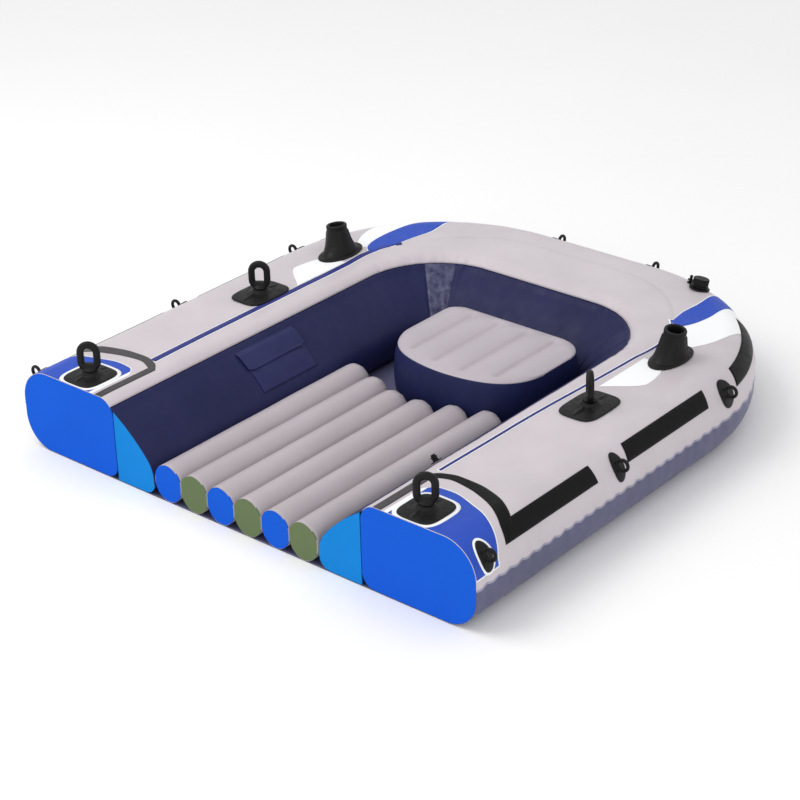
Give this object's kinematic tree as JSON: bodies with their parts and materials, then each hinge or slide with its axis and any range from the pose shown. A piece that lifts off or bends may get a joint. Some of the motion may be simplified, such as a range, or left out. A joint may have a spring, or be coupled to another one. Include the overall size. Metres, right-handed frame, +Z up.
{
  "type": "inflatable rowing boat section",
  "caption": "Rounded end of a small inflatable rowing boat, cut across to show its air chambers, with a loose seat, oarlocks and rod sockets.",
  "frame": {"origin": "on the centre line, in the plane of the cut, at the bottom of the hull", "axes": "+X to starboard, +Y towards the rounded end, +Z up"},
  "size_m": [1.4058, 1.4528, 0.2986],
  "materials": {
    "hull_vinyl": "satin",
    "cockpit_vinyl": "satin",
    "bottom_vinyl": "satin",
    "floor_vinyl": "satin",
    "seat_top_vinyl": "satin",
    "seat_side_vinyl": "satin",
    "pouch_vinyl": "satin",
    "section_blue": "matte",
    "section_sky": "matte",
    "section_green": "matte",
    "black_rubber": "satin"
  },
  "bodies": {
    "hull": {"outer_side_port": "hull_vinyl", "outer_side_starboard": "hull_vinyl", "outer_corner_port_1": "hull_vinyl", "outer_corner_port_2": "hull_vinyl", "outer_corner_port_3": "hull_vinyl", "outer_corner_starboard_1": "hull_vinyl", "outer_corner_starboard_2": "hull_vinyl", "outer_corner_starboard_3": "hull_vinyl", "outer_end": "hull_vinyl", "inner_side_port": "cockpit_vinyl", "inner_side_starboard": "cockpit_vinyl", "inner_corner_port_1": "cockpit_vinyl", "inner_corner_port_2": "cockpit_vinyl", "inner_corner_port_3": "cockpit_vinyl", "inner_corner_starboard_1": "cockpit_vinyl", "inner_corner_starboard_2": "cockpit_vinyl", "inner_corner_starboard_3": "cockpit_vinyl", "inner_end": "cockpit_vinyl", "bottom_sheet": "bottom_vinyl", "weld_seam": "bottom_vinyl", "outer_section_port": "section_blue", "outer_section_starboard": "section_blue", "inner_section_port": "section_sky", "inner_section_starboard": "section_sky", "floor_tube_1": "floor_vinyl", "floor_tube_2": "floor_vinyl", "floor_tube_3": "floor_vinyl", "floor_tube_4": "floor_vinyl", "floor_tube_5": "floor_vinyl", "floor_tube_6": "floor_vinyl", "floor_sections_blue": "section_blue", "floor_sections_green": "section_green", "storage_pouch": "pouch_vinyl", "oarlock_base_port_1": "black_rubber", "oarlock_base_port_2": "black_rubber", "oarlock_base_starboard_1": "black_rubber", "oarlock_base_starboard_2": "black_rubber", "rod_socket_port": "black_rubber", "rod_socket_starboard": "black_rubber", "rope_eyes_port": "black_rubber", "rope_eyes_starboard": "black_rubber", "rope_eyes_end": "black_rubber", "main_valve_base": "black_rubber", "inner_valve": "black_rubber"},
    "ring_port_1": {"oarlock_ring_port_1": "black_rubber"},
    "ring_port_2": {"oarlock_ring_port_2": "black_rubber"},
    "ring_starboard_1": {"oarlock_ring_starboard_1": "black_rubber"},
    "ring_starboard_2": {"oarlock_ring_starboard_2": "black_rubber"},
    "seat": {"seat_side": "seat_side_vinyl", "seat_top_panel": "seat_top_vinyl", "seat_bottom_panel": "seat_side_vinyl", "seat_valve": "black_rubber"},
    "seat_plug": {"seat_valve_plug": "black_rubber"},
    "flap": {"pouch_flap": "pouch_vinyl"},
    "cap_tether": {"main_valve_tether": "black_rubber"},
    "valve_cap": {"main_valve_cap": "black_rubber"},
    "inner_plug": {"inner_valve_plug": "black_rubber"}
  },
  "joints": [
    {"name": "oarlock_swivel_port_1", "type": "hinge", "parent": "hull", "child": "ring_port_1", "pos_m": [-0.508, 0.059, 0.2083], "axis": [0, 0, 1], "continuous": true},
    {"name": "oarlock_swivel_port_2", "type": "hinge", "parent": "hull", "child": "ring_port_2", "pos_m": [-0.508, 0.64, 0.2083], "axis": [0, 0, 1], "continuous": true},
    {"name": "oarlock_swivel_starboard_1", "type": "hinge", "parent": "hull", "child": "ring_starboard_1", "pos_m": [0.508, 0.059, 0.2083], "axis": [0, 0, 1], "continuous": true},
    {"name": "oarlock_swivel_starboard_2", "type": "hinge", "parent": "hull", "child": "ring_starboard_2", "pos_m": [0.508, 0.64, 0.2083], "axis": [0, 0, 1], "continuous": true},
    {"name": "seat_lift", "type": "slide", "parent": "hull", "child": "seat", "axis": [0, 0, 1], "range_m": [0, 0.3]},
    {"name": "seat_plug_pull", "type": "slide", "parent": "seat", "child": "seat_plug", "axis": [0, 1, 0], "range_m": [0, 0.02]},
    {"name": "pouch_flap_hinge", "type": "hinge", "parent": "hull", "child": "flap", "pos_m": [-0.36361, 0.5, 0.18175], "axis": [0, -1, 0], "range_deg": [0, 110]},
    {"name": "valve_cap_lift", "type": "slide", "parent": "hull", "child": "cap_tether", "axis": [0.0984, 0.221, 0.9703], "range_m": [0, 0.006]},
    {"name": "valve_cap_turn", "type": "hinge", "parent": "cap_tether", "child": "valve_cap", "pos_m": [0.3518, 1.33081, 0.20574], "axis": [0.0984, 0.221, 0.9703], "range_deg": [0, 720]},
    {"name": "inner_plug_pull", "type": "slide", "parent": "hull", "child": "inner_plug", "axis": [-0.6691, 0, 0.7431], "range_m": [0, 0.02]}
  ],
  "couplings": [
    {"joint": "valve_cap_lift", "follows": "valve_cap_turn", "m_per_rad": 0.00047746}
  ]
}
